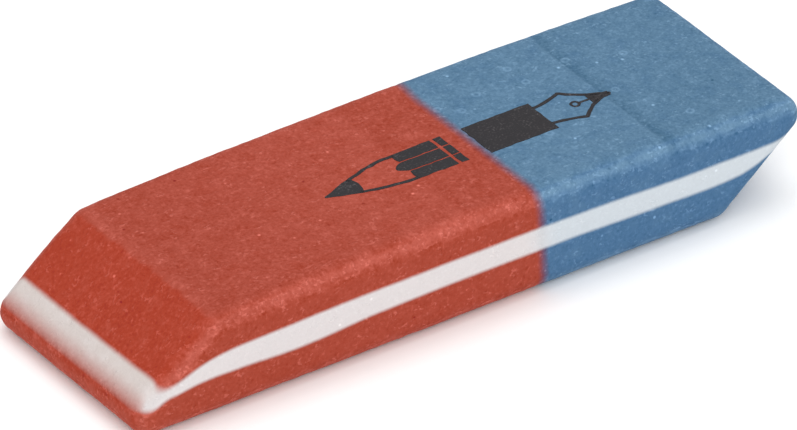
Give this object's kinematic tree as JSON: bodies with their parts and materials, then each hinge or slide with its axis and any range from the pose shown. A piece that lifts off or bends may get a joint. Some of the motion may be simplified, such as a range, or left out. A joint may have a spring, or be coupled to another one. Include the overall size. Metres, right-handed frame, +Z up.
{
  "type": "rubber eraser",
  "caption": "Bevelled rubber eraser: a red and a blue half, each of coloured rubber pressed round a white middle sheet, with sloped ends and rounded edges.",
  "frame": {"origin": "centre of the block seen from above, on the face it rests on", "axes": "+X along the block towards the blue end, +Y across the block, +Z up through the sheets"},
  "size_m": [0.057, 0.0186, 0.0083],
  "materials": {
    "red_rubber": "matt, tumbled",
    "blue_rubber": "matt, tumbled, slightly gritty",
    "white_rubber": "matt, smooth"
  },
  "bodies": {
    "root": {"red_top_sheet": "red_rubber", "blue_top_sheet": "blue_rubber", "white_core_sheet": "white_rubber", "red_base_sheet": "red_rubber", "blue_base_sheet": "blue_rubber"}
  },
  "joints": []
}
